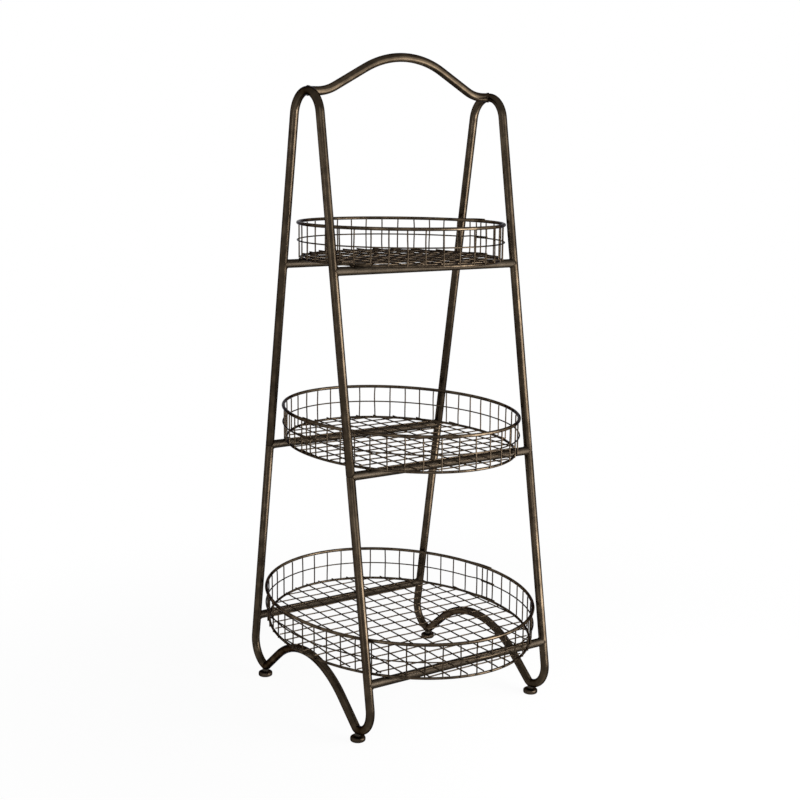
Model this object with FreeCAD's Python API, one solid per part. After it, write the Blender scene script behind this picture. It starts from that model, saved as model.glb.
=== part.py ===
import FreeCAD, Part
import math
import os

# Three-tier etagere of bronzed steel tube with oval wire-mesh baskets, in millimetres.
# +Z is up, +X runs from the left side frame to the right one, and -Y is the front.
# The origin lies on the floor, midway between the four feet.
# Round stock is drawn with a named number of flats, and bends as short mitred runs.

# Driving dimensions of the frame
OVERALL_HEIGHT = 960.0
OVERALL_DEPTH = 356.3
FRAME_SPACING = 314.0
TUBE_DIAMETER = 12.7
TUBE_WALL = 1.2
CROWN_BEND = 36.5
TIER_HEIGHTS = (92.0, 380.0, 658.5)

# Foot of each leg: a wide outer bend, a tight inner one, and the rise to the hump
FOOT_BEND = 36.0
FOOT_INNER_BEND = 10.0
FOOT_BEND_END = 8.0
HUMP_HEIGHT = 90.0
HUMP_SLOPE = 43.0

# Top handle
HANDLE_RISE = 51.5
HANDLE_STRAIGHT = 7.0
HANDLE_END_BEND = 60.0
HANDLE_SLOPE = 29.0

# Oval baskets, from the bottom one up, longer from front to rear than from side to side
LEG_GAPS = (2.8, 8.4, 10.6)
DEPTH_RATIOS = (1.24, 1.28, 1.07)
LAP_ANGLES = (8.5, 184.6, 3.8)
FLOOR_SHIFT = -6.0
MESH_PITCH = 25.4
WALL_CELLS = 2
RIM_DIAMETER = 5.0
BASE_RING_DIAMETER = 4.0
MESH_WIRE_DIAMETER = 2.1
RIM_OVERHANG = 1.3
STRAND_GAP = 0.12
LAP_GAP = 1.0
FLOOR_END_GAP = 1.0

# Spigots in the leg joints, and screw-in glides
SPIGOT_LENGTH = 60.0
SPIGOT_CLEARANCE = 0.1
COPE_CLEARANCE = 0.05
GLIDE_DIAMETER = 22.0
GLIDE_THICKNESS = 7.0
GLIDE_CHAMFER = 1.5
GLIDE_FLOOR = 2.0
GLIDE_GAP = 0.1
STUD_DIAMETER = 6.0
STUD_CLEARANCE = 0.08
SLEEVE_DIAMETER = 9.5
SLEEVE_LENGTH = 6.0
SLEEVE_CLEARANCE = 0.02
FOOT_CLEARANCE = 9.9

# Flats round each kind of stock, and the most that a bend may miss its arc by
TUBE_SIDES = 16
BORE_SIDES = 8
RING_SIDES = 8
WIRE_SIDES = 4
GLIDE_SIDES = 24
BEND_SAG = 0.7

FRAMES = {"left": -1, "right": 1}
ENDS = {"front": -1, "rear": 1}
TIERS = ("bottom", "middle", "top")
X_AXIS = FreeCAD.Vector(1, 0, 0)
Y_AXIS = FreeCAD.Vector(0, 1, 0)
Z_AXIS = FreeCAD.Vector(0, 0, 1)


def vector(x, y, z):
    return FreeCAD.Vector(x, y, z)


def flat_distance(diameter, sides):
    """Centre-to-flat distance of the polygon with the same area as a circle."""
    return diameter / 2 * math.sqrt(math.pi / sides / math.tan(math.pi / sides))


TUBE = flat_distance(TUBE_DIAMETER, TUBE_SIDES)
BORE = flat_distance(TUBE_DIAMETER - 2 * TUBE_WALL, BORE_SIDES)
SPIGOT = BORE - SPIGOT_CLEARANCE
RIM = flat_distance(RIM_DIAMETER, RING_SIDES)
BASE_RING = flat_distance(BASE_RING_DIAMETER, RING_SIDES)
MESH_WIRE = flat_distance(MESH_WIRE_DIAMETER, WIRE_SIDES)
GLIDE = flat_distance(GLIDE_DIAMETER, GLIDE_SIDES)
STUD = flat_distance(STUD_DIAMETER, BORE_SIDES)
SLEEVE = flat_distance(SLEEVE_DIAMETER, BORE_SIDES)


# Stock: polygons swept or extruded

def section(centre, direction, across, flat, sides):
    """Regular polygon about a centre, square to a direction, with a flat facing across."""
    corner = flat / math.cos(math.pi / sides)
    along = direction.cross(across).normalize()
    points = []
    for index in range(sides):
        angle = 2 * math.pi * (index + 0.5) / sides
        points.append(centre + across * (corner * math.cos(angle)) + along * (corner * math.sin(angle)))
    return Part.makePolygon(points + points[:1])


def bar(start, finish, across, flat, sides):
    """Straight length of stock between two points."""
    run = finish - start
    profile = Part.Face(section(start, run, across, flat, sides))
    return profile.extrude(run)


def swept(points, across, flat, sides):
    """Stock along a chain of points, mitred at each; a closed chain repeats its first point."""
    profile = section(points[0], points[1] - points[0], across, flat, sides)
    return Part.makePolygon(points).makePipeShell([profile], True, False, 1)


def hollow(points, across):
    return swept(points, across, TUBE, TUBE_SIDES).cut(swept(points, across, BORE, BORE_SIDES))


# Side frame, worked out in its own plane as (distance from the middle, height) pairs

def on_circle(centre, radius, angle):
    return (centre[0] + radius * math.cos(angle), centre[1] + radius * math.sin(angle))


def arc(centre, radius, start, finish):
    """Points along an arc: an even number of flats, within the sag, so its middle is a corner."""
    step = 2 * math.acos(1 - BEND_SAG / radius)
    count = 2 * math.ceil(abs(finish - start) / (2 * step))
    return [on_circle(centre, radius, start + (finish - start) * index / count)
            for index in range(count + 1)]


def side_outline():
    """Centres, angles and tangent points of one side frame's centreline."""
    crown = (0.0, OVERALL_HEIGHT - TUBE - HANDLE_RISE - CROWN_BEND)
    join = math.radians(FOOT_BEND_END) - math.pi / 2
    offset = FOOT_BEND - FOOT_INNER_BEND
    lowest = FOOT_CLEARANCE + TUBE
    foot = (OVERALL_DEPTH / 2 - TUBE - FOOT_BEND, lowest + FOOT_INNER_BEND - offset * math.sin(join))
    inner = on_circle(foot, offset, join)

    # The leg is the outer common tangent of the crown and the foot bend.
    reach = (foot[0] - crown[0], foot[1] - crown[1])
    bearing = math.atan2(reach[1], reach[0])
    leg = bearing + math.acos((CROWN_BEND - FOOT_BEND) / math.hypot(*reach))

    # The hump's bend follows from its height and the slope of the rise.
    slope = math.radians(HUMP_SLOPE)
    rise = on_circle(inner, FOOT_INNER_BEND, -math.pi / 2 - slope)
    level = rise[0] * math.sin(slope) + rise[1] * math.cos(slope)
    hump_bend = (level - HUMP_HEIGHT * math.cos(slope)) / (1 - math.cos(slope))
    return {"crown": crown, "foot": foot, "inner": inner, "join": join, "leg": leg, "slope": slope,
            "hump": (0.0, HUMP_HEIGHT - hump_bend), "hump_bend": hump_bend,
            "shoulder": on_circle(crown, CROWN_BEND, leg), "heel": on_circle(foot, FOOT_BEND, leg)}


OUTLINE = side_outline()


def leg_distance(height):
    """Distance of a leg's centreline from the middle plane at a height."""
    top = OUTLINE["shoulder"]
    low = OUTLINE["heel"]
    return top[0] + (low[0] - top[0]) * (top[1] - height) / (top[1] - low[1])


def leg_point(side, end, height):
    return vector(side * FRAME_SPACING / 2, end * leg_distance(height), height)


def leg_direction(end):
    """Unit vector up a leg."""
    return (leg_point(0, end, OUTLINE["shoulder"][1]) - leg_point(0, end, OUTLINE["heel"][1])).normalize()


def in_frame(pairs, side, end=1):
    return [vector(side * FRAME_SPACING / 2, end * pair[0], pair[1]) for pair in pairs]


def hoop_points(side):
    """Upper hoop: from the seam in the front leg over the crown to the rear seam."""
    crown = arc(OUTLINE["crown"], CROWN_BEND, math.pi - OUTLINE["leg"], OUTLINE["leg"])
    seam = TIER_HEIGHTS[1]
    return [leg_point(side, -1, seam)] + in_frame(crown, side) + [leg_point(side, 1, seam)]


def base_points(side):
    """Lower frame: down the front leg, round both feet by way of the hump, and up the rear leg."""
    slope = OUTLINE["slope"]
    foot = arc(OUTLINE["foot"], FOOT_BEND, OUTLINE["leg"], OUTLINE["join"])
    inner = arc(OUTLINE["inner"], FOOT_INNER_BEND, OUTLINE["join"], -math.pi / 2 - slope)
    hump = arc(OUTLINE["hump"], OUTLINE["hump_bend"], math.pi / 2 + slope, math.pi / 2 - slope)
    half = foot + inner[1:]
    seam = TIER_HEIGHTS[1]
    front = [leg_point(side, -1, seam)] + in_frame(half, side, -1)
    rear = in_frame(half[::-1], side) + [leg_point(side, 1, seam)]
    return front + in_frame(hump, side) + rear


def hoop(side):
    return hollow(hoop_points(side), X_AXIS)


def glide_centre(side, end):
    """Point on the floor under the lowest part of a foot."""
    return vector(side * FRAME_SPACING / 2, end * OUTLINE["inner"][0], 0)


def base_frame(side):
    """Lower frame, bored from below for the glides' sleeves."""
    frame = hollow(base_points(side), X_AXIS)
    for end in ENDS.values():
        foot = glide_centre(side, end)
        top = foot + Z_AXIS * stud_top()
        frame = frame.cut(bar(foot, top, X_AXIS, SLEEVE + SLEEVE_CLEARANCE, BORE_SIDES))
    return frame


def spigot(side, end):
    """Plug that joins a hoop to its lower frame, half in each."""
    seam = leg_point(side, end, TIER_HEIGHTS[1])
    reach = leg_direction(end) * (SPIGOT_LENGTH / 2)
    return bar(seam - reach, seam + reach, X_AXIS, SPIGOT, BORE_SIDES)


# Cross members between the side frames

def crossbar(height, end):
    """Tube from leg to leg, its ends coped to them."""
    ends = [leg_point(side, end, height) for side in FRAMES.values()]
    tube = bar(ends[0], ends[1], Z_AXIS, TUBE, TUBE_SIDES)
    tube = tube.cut(bar(ends[0], ends[1], Z_AXIS, BORE, BORE_SIDES))
    for point in ends:
        reach = leg_direction(end) * TUBE_DIAMETER
        tube = tube.cut(bar(point - reach, point + reach, X_AXIS, TUBE + COPE_CLEARANCE, TUBE_SIDES))
    return tube


def handle():
    """Arched tube between the crowns, its ends coped to them."""
    slope = math.radians(HANDLE_SLOPE)
    level = OUTLINE["crown"][1] + CROWN_BEND
    apex = level + HANDLE_RISE
    bend_start = FRAME_SPACING / 2 - TUBE - HANDLE_STRAIGHT
    end_bend = arc((-bend_start, level + HANDLE_END_BEND), HANDLE_END_BEND,
                   -math.pi / 2, slope - math.pi / 2)
    climb = end_bend[-1][1] - end_bend[-1][0] * math.tan(slope)
    top_bend = (climb - apex) / (1 / math.cos(slope) - 1)
    top = arc((0, apex - top_bend), top_bend, math.pi / 2 + slope, math.pi / 2 - slope)
    right = [(-x, z) for x, z in end_bend[::-1]]
    pairs = [(-FRAME_SPACING / 2, level)] + end_bend + top + right + [(FRAME_SPACING / 2, level)]
    tube = hollow([vector(x, 0, z) for x, z in pairs], Y_AXIS)
    for side in FRAMES.values():
        tube = tube.cut(swept(hoop_points(side), X_AXIS, TUBE + COPE_CLEARANCE, TUBE_SIDES))
    return tube


# Baskets

def wall_places(around):
    """Distances round a wall to its wires: one pitch apart, and on past the first over the lap."""
    clear = 2 * MESH_WIRE + LAP_GAP
    places = []
    for index in range(math.floor(around / MESH_PITCH) + 2):
        lapped = index * MESH_PITCH - around
        nearest = MESH_PITCH * max(0, round(lapped / MESH_PITCH))
        # A lapped wire that would land on another is left off.
        if abs(lapped - nearest) > clear:
            places.append(index * MESH_PITCH)
    return places


def wall_posts(width, depth, start):
    """Points and outward directions at the wires of an oval wall, clockwise from its first one."""
    oval = Part.Ellipse(Y_AXIS * depth, X_AXIS * width, vector(0, 0, 0))
    first = math.atan2(math.cos(start) / width, math.sin(start) / depth)
    around = oval.length(0, 2 * math.pi)
    posts = []
    for place in sorted(place % around for place in wall_places(around)):
        turn = oval.parameterAtDistance(place, first)
        posts.append((oval.value(turn), Z_AXIS.cross(oval.tangent(turn)[0])))
    return posts


def basket_layout(tier):
    """Levels and half sizes of one basket, which rests on its crossbars and clears the legs."""
    base = TIER_HEIGHTS[tier] + TUBE + BASE_RING
    rim = base + WALL_CELLS * MESH_PITCH
    ratio = DEPTH_RATIOS[tier]
    leg = leg_point(1, 1, rim) - Z_AXIS * rim
    corner = leg * (1 - (TUBE + LEG_GAPS[tier] + RIM) / leg.Length)
    rim_width = math.hypot(corner.x, corner.y / ratio)
    width = rim_width - RIM_OVERHANG
    depth = rim_width * ratio - RIM_OVERHANG
    return {"base": base, "rim": rim, "floor": base + BASE_RING, "width": width, "depth": depth,
            "posts": wall_posts(width, depth, math.radians(LAP_ANGLES[tier]))}


def ring(layout, outwards, height, flat, sides):
    """Closed ring with a corner at each wall wire, drawn from the middle of its first flat."""
    corners = [point + direction * outwards + Z_AXIS * height for point, direction in layout["posts"]]
    middle = (corners[0] + corners[-1]) / 2
    return swept([middle] + corners + [middle], Z_AXIS, flat, sides)


def rim(layout):
    return ring(layout, RIM_OVERHANG, layout["rim"], RIM, RING_SIDES)


def base_ring(layout):
    return ring(layout, -MESH_WIRE - BASE_RING, layout["base"], BASE_RING, RING_SIDES)


def strand(layout):
    """Horizontal wire of the wall mesh, outside the uprights."""
    outwards = 2 * MESH_WIRE + STRAND_GAP
    return ring(layout, outwards, layout["base"] + MESH_PITCH, MESH_WIRE, WIRE_SIDES)


def uprights(layout):
    """Vertical wires from the foot of the base ring to the underside of the rim."""
    wires = []
    for point, outward in layout["posts"]:
        foot = point + Z_AXIS * (layout["base"] - BASE_RING)
        head = point + Z_AXIS * (layout["rim"] - RIM)
        wires.append(bar(foot, head, outward, MESH_WIRE, WIRE_SIDES))
    return Part.makeCompound(wires)


def floor_wires(run, across, half_run, half_across, shift, height):
    """Parallel floor wires, each trimmed to an oval of the given half sizes."""
    lines = math.ceil((half_across + abs(shift)) / MESH_PITCH)
    wires = []
    for index in range(-lines, lines + 1):
        offset = shift + index * MESH_PITCH
        edge = (abs(offset) + MESH_WIRE) / half_across
        if edge >= 1:
            continue
        half = run * (half_run * math.sqrt(1 - edge ** 2))
        middle = across * offset + Z_AXIS * height
        wires.append(bar(middle - half, middle + half, Z_AXIS, MESH_WIRE, WIRE_SIDES))
    return Part.makeCompound(wires)


def floor_long(layout):
    """Lower floor wires, joined to the upper ones and cut to clear the base ring."""
    inset = MESH_WIRE + 2 * BASE_RING + FLOOR_END_GAP
    width = layout["width"] - inset
    depth = layout["depth"] - inset
    return floor_wires(X_AXIS, Y_AXIS, width, depth, 0.0, layout["floor"] - MESH_WIRE)


def floor_cross(layout):
    """Upper floor wires, which rest on the base ring and end over its middle."""
    inset = MESH_WIRE + BASE_RING
    width = layout["width"] - inset
    depth = layout["depth"] - inset
    return floor_wires(Y_AXIS, X_AXIS, depth, width, FLOOR_SHIFT, layout["floor"] + MESH_WIRE)


# Glides

def stud_top():
    """Height that the studs and their sleeves reach inside the feet."""
    return GLIDE_THICKNESS + GLIDE_GAP + SLEEVE_LENGTH


def stud(side, end):
    """Threaded stud, moulded into the pad and screwed into the sleeve."""
    foot = glide_centre(side, end)
    return bar(foot + Z_AXIS * GLIDE_FLOOR, foot + Z_AXIS * stud_top(), X_AXIS, STUD, BORE_SIDES)


def pad(side, end):
    """Foot pad with a chamfered tread and a blind hole for its stud."""
    foot = glide_centre(side, end)
    disc = bar(foot, foot + Z_AXIS * GLIDE_THICKNESS, X_AXIS, GLIDE, GLIDE_SIDES)
    tread_edges = [edge for edge in disc.Edges if edge.BoundBox.ZMax < GLIDE_CHAMFER / 2]
    return disc.makeChamfer(GLIDE_CHAMFER, tread_edges).cut(stud(side, end))


def sleeve(side, end):
    """Threaded sleeve fixed in the bottom of a foot."""
    foot = glide_centre(side, end)
    low = foot + Z_AXIS * (GLIDE_THICKNESS + GLIDE_GAP)
    high = foot + Z_AXIS * stud_top()
    body = bar(low, high, X_AXIS, SLEEVE, BORE_SIDES)
    return body.cut(bar(low, high, X_AXIS, STUD + STUD_CLEARANCE, BORE_SIDES))


def build():
    """Every sub-part, by node name."""
    parts = {"handle": handle()}
    for frame, side in FRAMES.items():
        parts["hoop_" + frame] = hoop(side)
        parts["base_frame_" + frame] = base_frame(side)
        for end_name, end in ENDS.items():
            corner = end_name + "_" + frame
            parts["spigot_" + corner] = spigot(side, end)
            parts["sleeve_" + corner] = sleeve(side, end)
            parts["stud_" + corner] = stud(side, end)
            parts["pad_" + corner] = pad(side, end)
    pieces = {"rim": rim, "base_ring": base_ring, "strand": strand, "uprights": uprights,
              "floor_long": floor_long, "floor_cross": floor_cross}
    for tier, name in enumerate(TIERS):
        for end_name, end in ENDS.items():
            parts["crossbar_" + name + "_" + end_name] = crossbar(TIER_HEIGHTS[tier], end)
        layout = basket_layout(tier)
        for piece, make in pieces.items():
            parts["basket_" + name + "_" + piece] = make(layout)
    return parts


os.makedirs("parts", exist_ok=True)
for node, shape in build().items():
    shape.exportStep("parts/" + node + ".step")
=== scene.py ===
import math
from bisect import bisect_right
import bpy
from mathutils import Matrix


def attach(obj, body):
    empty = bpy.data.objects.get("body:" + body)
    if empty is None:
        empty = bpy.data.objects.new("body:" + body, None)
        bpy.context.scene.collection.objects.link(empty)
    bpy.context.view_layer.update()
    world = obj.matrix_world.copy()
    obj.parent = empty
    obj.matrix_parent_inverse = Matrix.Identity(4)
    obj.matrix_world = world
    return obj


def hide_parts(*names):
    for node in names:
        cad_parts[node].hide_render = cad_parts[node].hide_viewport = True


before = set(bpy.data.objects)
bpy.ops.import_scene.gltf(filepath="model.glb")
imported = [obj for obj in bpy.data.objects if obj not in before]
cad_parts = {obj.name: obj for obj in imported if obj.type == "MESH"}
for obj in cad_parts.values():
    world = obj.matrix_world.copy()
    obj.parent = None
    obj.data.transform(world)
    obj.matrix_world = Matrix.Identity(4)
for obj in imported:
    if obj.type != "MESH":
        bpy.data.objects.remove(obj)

from types import SimpleNamespace

import bmesh
import bpy
from bpy.props import (FloatProperty, FloatVectorProperty, IntProperty, PointerProperty)
from bpy.types import Operator, Panel, PropertyGroup
from mathutils import Matrix, Vector

bl_info = {
    "name": "Three-tier etagere",
    "version": (1, 0, 0),
    "blender": (4, 5, 0),
    "location": "3D View > Sidebar > Etagere",
    "description": "Builds a bronzed tube etagere with oval wire-mesh baskets around its CAD frame",
    "category": "Object",
}

MM = 0.001
SIDES = {"left": -1, "right": 1}
ENDS = {"front": -1, "rear": 1}
TIERS = ("bottom", "middle", "top")
STAND = "stand"
TUBE_SLOT = "bronzed_tube"
WIRE_SLOT = "bronzed_wire"
STEEL_SLOT = "plated_steel"
PAD_SLOT = "pad"
UP = Vector((0, 0, 1))
WHITE = (1, 1, 1, 1)
TURN = 2 * math.pi
QUARTER = math.pi / 2

# Fineness of the curves, and the first seeds of the pieces with random shapes
BEND_STEP = math.radians(4)
TIGHT_BEND_STEP = math.radians(8)
ARCH_STEP = math.radians(3)
RING_STEPS = 192
STRAND_STEPS = 200
LAP_STEPS = 14
COPE_STEPS = 56
MESH_SIDES = 8
RING_SIDES = 14
BEAD_SIDES = 10
DRILL_SIDES = 32
PAD_SIDES = 48
SLEEVE_SIDES = 40
STUD_SIDES = 24
ROWS_PER_THREAD = 6
OVAL_STEPS = 1440
WALL_WIRE_POINTS = 9
FLOOR_WIRE_STEP = 8 * MM
STAGE_SIDES = 96
WALL_SEED = 11
TACK_SEED = 5

# The angles past which an edge of the stock, a turned piece or a thread stays sharp
STOCK_SHARP, TURNED_SHARP, THREAD_SHARP = (math.radians(value) for value in (50, 35, 40))

# How fast a floor wire's waves follow each other and how far they go in X, Y and Z
FLOOR_WAVES, FLOOR_WAVE = 26.0, (0.0, 4.0, 2.0)
# How much an upright leans at its foot and bends both ways, against its bow
UPRIGHT_LEAN, UPRIGHT_BEND = 0.7, 0.5

# Welds and the ends of the tubes
WELD_BEAD = 2.0 * MM
WELD_LUMPINESS = 0.6
WELD_LUMP = 2.4 * MM
TACK_WELD = 3.2 * MM
TACK_LUMPS = 500.0
TACK_FLATTEST, TACK_FULLEST = (0.8, 0.8, 0.5), (1.2, 1.2, 0.8)
SEAM_GIRTH = 0.9

# Where the wall mesh laps: the strand's lift in wires, and for each edge wire its height over
# the ring, its rise, and its start and end from the last upright, in millimetres
STRAND_LIFT = 0.85
LAPPED_EDGES = {"rim": (1.2, 1.8, -45, 8), "base": (1.4, 1.4, -25, 24)}
UPRIGHT_CLEARANCE = 1 * MM
FLOOR_CLEARANCE = 1 * MM

# Insets from the pad's edge with heights from its tread or drops from its top, in millimetres
PAD_TREAD_EDGE = ((1.9, 0), (1.0, 0.25), (0.35, 0.8), (0, 1.9))
PAD_TOP_EDGE = ((0, 2.6), (0.2, 1.7), (0.8, 0.9), (1.8, 0.3), (3.2, 0))
PAD_FLOOR = 2 * MM
PAD_CHAMFER = 0.5 * MM
PAD_PLAY = 0.05 * MM
GLIDE_GAP = 0.1 * MM
SLEEVE_PLAY = 0.02 * MM
SLEEVE_EDGE = 0.4 * MM
THREAD_PLAY = 0.12 * MM
THREAD_DEPTH = 0.3 * MM

# Each bronzed finish: its tones, mottle and grain scales, wear, dullness and relief
BRONZES = {
    "Bronzed tube": (("bronze_dark", "bronze_body", "bronze_worn"), 55.0, 650.0, 0.45, 0.2, 0.12),
    # The crossbar tones are the tube's tones darkened, though the bars are the same tube: painted
    # shade that dims the bars under the baskets
    "Bronzed crossbar": (("shaded_bar_dark", "shaded_bar_body", "shaded_bar_worn"), 70.0, 500.0, 0.45, 0.42, 0.12),
    "Bronzed wire": (("wire_dark", "wire_body", "wire_worn"), 90.0, 900.0, 0.4, 0.24, 0.3),
    # The rim tones are the wire's tones made lighter: partly rubbed wire, partly a painted
    # highlight for the tan light on the rims' fronts
    "Bronzed rim": (("wire_dark", "rim_body_with_painted_highlight", "rim_rubbed_with_painted_highlight"), 70.0, 900.0, 0.5, 0.24, 0.2),
    "Bronzed weld": (("wire_dark", "bronze_body", "bronze_worn"), 160.0, 900.0, 0.5, 0.24, 0.5),
    "Bronzed pad": (("bronze_dark", "pad", "bronze_worn"), 120.0, 700.0, 0.45, 0.26, 0.4),
}
BRONZE_EDGE_TINT = (0.32, 0.33, 0.36, 1)
BRONZE_RELIEF = 0.2 * MM
# How much the mottle, the grain and the streaks say about where the bronze is rubbed
MOTTLE_SHARE, GRAIN_SHARE, STREAK_SHARE = 0.34, 0.06, 0.75
# Where the rubbing starts without wear, how far full wear moves it, and how far it spreads
RUBBING, RUBBING_WITH_WEAR, RUBBING_SPREAD = 0.70, -0.35, 0.3
STREAK_STRETCH = (230.0, 230.0, 9.0)
TURNING_MARKS = (60.0, 60.0, 2500.0)
PLATING_RELIEF = 0.1 * MM

# Each soft lamp: its place, its target, its width and height, and its tint
WARM, COOL, NEUTRAL = (1.0, 0.99, 0.97), (0.98, 0.99, 1.0), (1.0, 1.0, 1.0)
LAMPS = {
    "key": ((0.5, -0.86, 0.3), (0, 0, 0.3), 0.66, 0.6, WARM),
    "upper": ((0.5, -0.86, 0.93), (0, 0, 0.93), 0.66, 0.64, WARM),
    "low": ((0.72, -0.5, 0.02), (0.72, -0.5, 1.0), 0.4, 0.4, WARM),
    "side": ((-2.1, -0.93, 0.5), (0, 0, 0.45), 0.4, 0.9, COOL),
    "front": ((-1.45, -2.15, 1.9), (0, 0, 0.5), 1.2, 0.8, NEUTRAL),
}
CAMERA_PLACE = (-1.0704, -1.6070, 0.8183)
CAMERA_YAW, CAMERA_PITCH, CAMERA_ROLL = 0.588505, -0.186855, 0.010033
CAMERA_SENSOR, CAMERA_LENS = 36.0, 58.703
FLOOR_RADIUS = 9.0
# The rise of a view over which the surround darkens and the distance over which the floor
# turns white, each with its first and last strength
CEILING = (0.25, 0.7, 1.0, 0.8)
FLOOR_FADE = (0.3, 1.0, 0.95, 1.0)


# Sizes and colours

def length(name, description, millimetres):
    return FloatProperty(name=name, description=description, default=millimetres * MM,
                         min=0.0, unit="LENGTH", precision=4)


def angle(name, description, degrees):
    return FloatProperty(name=name, description=description, default=math.radians(degrees),
                         subtype="ANGLE")


def power(name, description, watts):
    return FloatProperty(name=name, description=description, default=watts, min=0.0, unit="POWER")


def colour(name, description, default):
    return FloatVectorProperty(name=name, description=description, default=default, size=3,
                               min=0.0, max=1.0, subtype="COLOR")


def lengths(name, description, *millimetres):
    return FloatVectorProperty(name=name, description=description, size=3, unit="LENGTH",
                               default=[value * MM for value in millimetres], precision=4)


def angles(name, description, *degrees):
    return FloatVectorProperty(name=name, description=description, size=3, subtype="EULER",
                               default=[math.radians(value) for value in degrees])


class EtagereFrameSizes(PropertyGroup):
    """Sizes of the bent tube frame"""
    overall_height: length("Overall height", "Floor to the top of the handle", 960)
    overall_depth: length("Overall depth", "Over the two feet of one side", 356.3)
    spacing: length("Spacing", "Between the centres of the two side frames", 314)
    tube: length("Tube", "Diameter of the frame tube", 12.7)
    crown_bend: length("Crown bend", "Centreline radius at the top of a side frame", 36.5)
    foot_bend: length("Foot bend", "Centreline radius of the wide bend above a foot", 36)
    inner_bend: length("Inner foot bend", "Centreline radius of the tight bend in a foot", 10)
    foot_bend_end: angle("Foot bend end", "Where the wide foot bend meets the tight one", 8)
    foot_clearance: length("Foot clearance", "Floor to the underside of the tube", 9.9)
    hump_height: length("Hump height", "Floor to the middle of the hump's centreline", 84)
    hump_slope: angle("Hump slope", "Slope of the rise between a foot and the hump", 39.5)
    handle_rise: length("Handle rise", "Crowns to the top of the handle's centreline", 51.5)
    handle_straight: length("Handle straight", "Straight run at each end of the handle", 7)
    handle_end_bend: length("Handle end bend", "Centreline radius near each end", 60)
    handle_slope: angle("Handle slope", "Slope between the handle's end bend and its arch", 29)
    handle_lean: length("Handle lean", "How far the middle of the arch strays to the right", 4)
    seam: length("Seam groove", "Width of the chamfer at the tube ends in the legs", 0.7)
    tube_facets: IntProperty(name="Tube facets", description="Sides round the frame tube",
                             default=32, min=8, max=64)


class EtagereBasketSizes(PropertyGroup):
    """Sizes of the three wire baskets"""
    tier_heights: lengths("Tier heights", "Floor to the crossbars' centrelines", 92, 380, 658.5)
    leg_gaps: lengths("Leg gaps", "Between the rims and the legs", 3.1, 8.4, 10.6)
    depth_ratios: FloatVectorProperty(name="Depth ratios", size=3, default=(1.24, 1.28, 1.07),
                                      description="Front-to-rear size over the side-to-side one")
    lap_angles: angles("Lap angles", "Bearing of the first wall wire", 8.5, 184.6, 3.8)
    floor_shift: FloatProperty(name="Floor shift", description="Offset of the floor mesh in X",
                               default=-6 * MM, unit="LENGTH", precision=4)
    pitch: length("Mesh pitch", "Between neighbouring mesh wires", 25.4)
    wall_cells: IntProperty(name="Wall cells", description="Rows of mesh in a wall",
                            default=2, min=1, max=6)
    rim_wire: length("Rim wire", "Diameter of the rim ring", 5)
    base_wire: length("Base wire", "Diameter of the base ring", 4)
    mesh_wire: length("Mesh wire", "Diameter of the wires of the welded mesh", 2.1)
    rim_overhang: length("Rim overhang", "How far the rim stands out from the wall", 1.3)
    lap_tail: length("Lap tail", "How far the level wires run on past the lap", 15)
    wall_wander: lengths("Wall wander", "How far an upright strays from straight", 0.5, 0.7, 0.8)
    floor_wander: length("Floor wander", "How far a floor wire strays from straight", 0.8)


class EtagereGlideSizes(PropertyGroup):
    """Sizes of the screw-in glides"""
    pad: length("Pad", "Diameter of a foot pad", 22)
    pad_height: length("Pad height", "Thickness of a foot pad", 7)
    stud: length("Stud", "Diameter over the stud's thread", 5.9)
    thread_pitch: length("Thread pitch", "Height of one turn of the thread", 1.0)
    sleeve: length("Sleeve", "Diameter of the threaded sleeve in a foot", 9.5)
    sleeve_length: length("Sleeve length", "Height of the threaded sleeve", 6)


class EtagereFinish(PropertyGroup):
    """Colours of the bronzed and plated finishes"""
    bronze_dark: colour("Bronze shade", "Darkest tone of the bronzed tube", (0.027, 0.020, 0.0135))
    bronze_body: colour("Bronze body", "Common tone of the bronzed tube", (0.046, 0.034, 0.0225))
    bronze_worn: colour("Bronze rubbed", "Tone where the finish is rubbed", (0.088, 0.066, 0.044))
    # The crossbar tones are darker than the tube's: painted shade for the bars under the baskets,
    # with rubbed patches by noise as on the tube
    shaded_bar_dark: colour("Crossbar shade", "Darkest tone of the crossbars", (0.023, 0.018, 0.013))
    shaded_bar_body: colour("Crossbar body", "Common tone of the crossbars", (0.033, 0.026, 0.019))
    shaded_bar_worn: colour("Crossbar rubbed", "Tone of the rubbed crossbars", (0.043, 0.034, 0.025))
    wire_dark: colour("Wire shade", "Darkest tone of the bronzed wire", (0.028, 0.0205, 0.014))
    wire_body: colour("Wire body", "Common tone of the bronzed wire", (0.062, 0.046, 0.031))
    wire_worn: colour("Wire rubbed", "Tone where the wire is rubbed", (0.13, 0.098, 0.064))
    # The rim tones are lighter than the wire's: partly rubbed wire, partly a painted highlight
    # standing in for the light on the rims' fronts
    rim_body_with_painted_highlight: colour("Rim body", "Common tone of the bronzed rims", (0.072, 0.053, 0.035))
    rim_rubbed_with_painted_highlight: colour("Rim rubbed", "Tone where the rims are rubbed", (0.14, 0.105, 0.068))
    plating: colour("Plating", "Darkened plating of the sleeves and studs", (0.045, 0.038, 0.030))
    pad: colour("Pad", "Body tone of the foot pads", (0.05, 0.038, 0.028))


class EtagereStage(PropertyGroup):
    """Floor, lamps and light of the stage"""
    floor: colour("Floor", "Colour of the floor", (0.93, 0.93, 0.93))
    key: power("Key lamp", "Power of the near lamp at the front right", 16.5)
    upper: power("Upper lamp", "Power of the lamp above the key lamp", 4.5)
    low: power("Low lamp", "Power of the lamp that lies on the floor at the right", 2.5)
    side: power("Side lamp", "Power of the tall lamp at the left", 5.0)
    front: power("Front lamp", "Power of the raised lamp at the front", 8.0)
    ambient: FloatProperty(name="Ambient", description="Strength of the light from all round",
                           default=0.3, min=0.0)


# Nodes

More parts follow.
